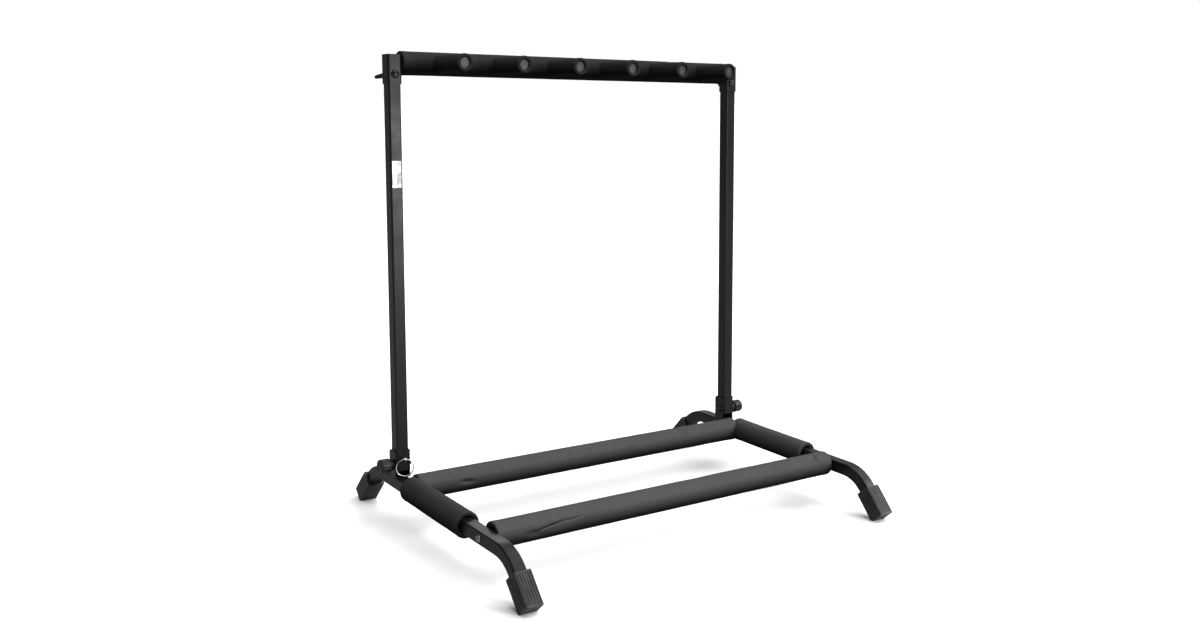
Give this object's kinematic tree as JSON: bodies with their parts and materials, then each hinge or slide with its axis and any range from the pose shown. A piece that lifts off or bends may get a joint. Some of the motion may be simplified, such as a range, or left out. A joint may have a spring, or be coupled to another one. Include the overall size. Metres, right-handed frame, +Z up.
{
  "type": "guitar rack",
  "caption": "Folding floor rack that holds guitars upright between two foam-covered crossbars and a hinged neck frame with padded pegs.",
  "frame": {"origin": "middle of the footprint, at floor level", "axes": "+X to the right along the crossbars, +Y to the back, away from the player, +Z up"},
  "size_m": [0.7314, 0.5478, 0.7281],
  "materials": {
    "powder_coated_steel": "semi-matt black powder coat with fine orange peel",
    "foam": "matt closed-cell foam, charcoal",
    "foot_rubber": "matt moulded rubber with ribs",
    "zinc_plated_steel": "bright zinc plating",
    "bright_steel": "bright plated wire",
    "black_plastic": "moulded nylon with a soft sheen",
    "black_steel": "black oxide",
    "grey_plastic": "moulded grey polyethylene",
    "label_film": "plain film sticker without print"
  },
  "bodies": {
    "base": {"left_side_leg": "powder_coated_steel", "right_side_leg": "powder_coated_steel", "front_left_foot": "foot_rubber", "front_right_foot": "foot_rubber", "rear_left_foot": "foot_rubber", "rear_right_foot": "foot_rubber", "rear_crossbar_tube": "powder_coated_steel", "front_crossbar_tube": "powder_coated_steel", "crossbar_end_inserts": "zinc_plated_steel", "crossbar_bolts": "zinc_plated_steel", "rear_crossbar_foam": "foam", "front_crossbar_foam": "foam", "left_side_foam": "foam", "right_side_foam": "foam", "left_upright_bracket": "powder_coated_steel", "right_upright_bracket": "powder_coated_steel", "bracket_guide_rivets": "black_steel", "left_pivot_bolt": "black_steel", "right_pivot_bolt": "black_steel"},
    "upper_frame": {"left_upright": "powder_coated_steel", "right_upright": "powder_coated_steel", "upright_foot_plugs": "black_plastic", "pivot_bushes": "grey_plastic", "lock_pin_bush": "black_steel", "lock_pin_spring": "zinc_plated_steel", "blank_label": "label_film", "left_top_socket": "powder_coated_steel", "right_top_socket": "powder_coated_steel", "top_bar_tube": "powder_coated_steel", "top_bar_foam": "foam", "socket_bolts": "black_steel", "socket_washers": "zinc_plated_steel", "neck_peg_1": "powder_coated_steel", "neck_peg_2": "powder_coated_steel", "neck_peg_3": "powder_coated_steel", "neck_peg_4": "powder_coated_steel", "neck_peg_5": "powder_coated_steel", "neck_peg_6": "powder_coated_steel", "peg_foam_1": "foam", "peg_foam_2": "foam", "peg_foam_3": "foam", "peg_foam_4": "foam", "peg_foam_5": "foam", "peg_foam_6": "foam", "peg_plug_1": "grey_plastic", "peg_plug_2": "grey_plastic", "peg_plug_3": "grey_plastic", "peg_plug_4": "grey_plastic", "peg_plug_5": "grey_plastic", "peg_plug_6": "grey_plastic"},
    "lock_pin_clip": {"lock_pin_clip": "zinc_plated_steel"},
    "lock_pin": {"lock_pin": "zinc_plated_steel"},
    "pull_ring": {"pull_ring": "bright_steel"},
    "left_clamp_knob": {"left_clamp_knob": "black_plastic"},
    "right_clamp_knob": {"right_clamp_knob": "black_plastic"},
    "left_wing_nut": {"left_wing_nut": "black_plastic"},
    "right_wing_nut": {"right_wing_nut": "black_plastic"}
  },
  "joints": [
    {"name": "upper_frame_fold", "type": "hinge", "parent": "base", "child": "upper_frame", "pos_m": [0, 0.13031, 0.09512], "axis": [1, 0, 0], "range_deg": [0, 90]},
    {"name": "lock_pin_pull", "type": "slide", "parent": "upper_frame", "child": "lock_pin_clip", "axis": [0, 0.999, -0.0436], "range_m": [-0.005, 0], "stiffness_N_per_m": 600, "springref_m": 0.004, "deforming": ["lock_pin_spring"]},
    {"name": "lock_pin_turn", "type": "hinge", "parent": "lock_pin_clip", "child": "lock_pin", "pos_m": [-0.33, 0.13075, 0.10511], "axis": [0, 0.999, -0.0436], "range_deg": [0, 162]},
    {"name": "pull_ring_swing", "type": "hinge", "parent": "lock_pin", "child": "pull_ring", "pos_m": [-0.33, 0.11446, 0.10582], "axis": [1, 0, 0], "range_deg": [-80, 0]},
    {"name": "left_clamp_knob_turn", "type": "hinge", "parent": "base", "child": "left_clamp_knob", "pos_m": [-0.355, 0.13031, 0.09512], "axis": [1, 0, 0], "range_deg": [0, 270]},
    {"name": "right_clamp_knob_turn", "type": "hinge", "parent": "base", "child": "right_clamp_knob", "pos_m": [0.355, 0.13031, 0.09512], "axis": [1, 0, 0], "range_deg": [0, 270]},
    {"name": "left_wing_nut_turn", "type": "hinge", "parent": "upper_frame", "child": "left_wing_nut", "pos_m": [-0.33, 0.1744, 0.69235], "axis": [0, 0.999, -0.0436], "range_deg": [0, 270]},
    {"name": "right_wing_nut_turn", "type": "hinge", "parent": "upper_frame", "child": "right_wing_nut", "pos_m": [0.33, 0.1744, 0.69235], "axis": [0, 0.999, -0.0436], "range_deg": [0, 270]}
  ],
  "couplings": [
    {"joint": "lock_pin_turn", "follows": "upper_frame_fold", "ratio": 1.8}
  ]
}
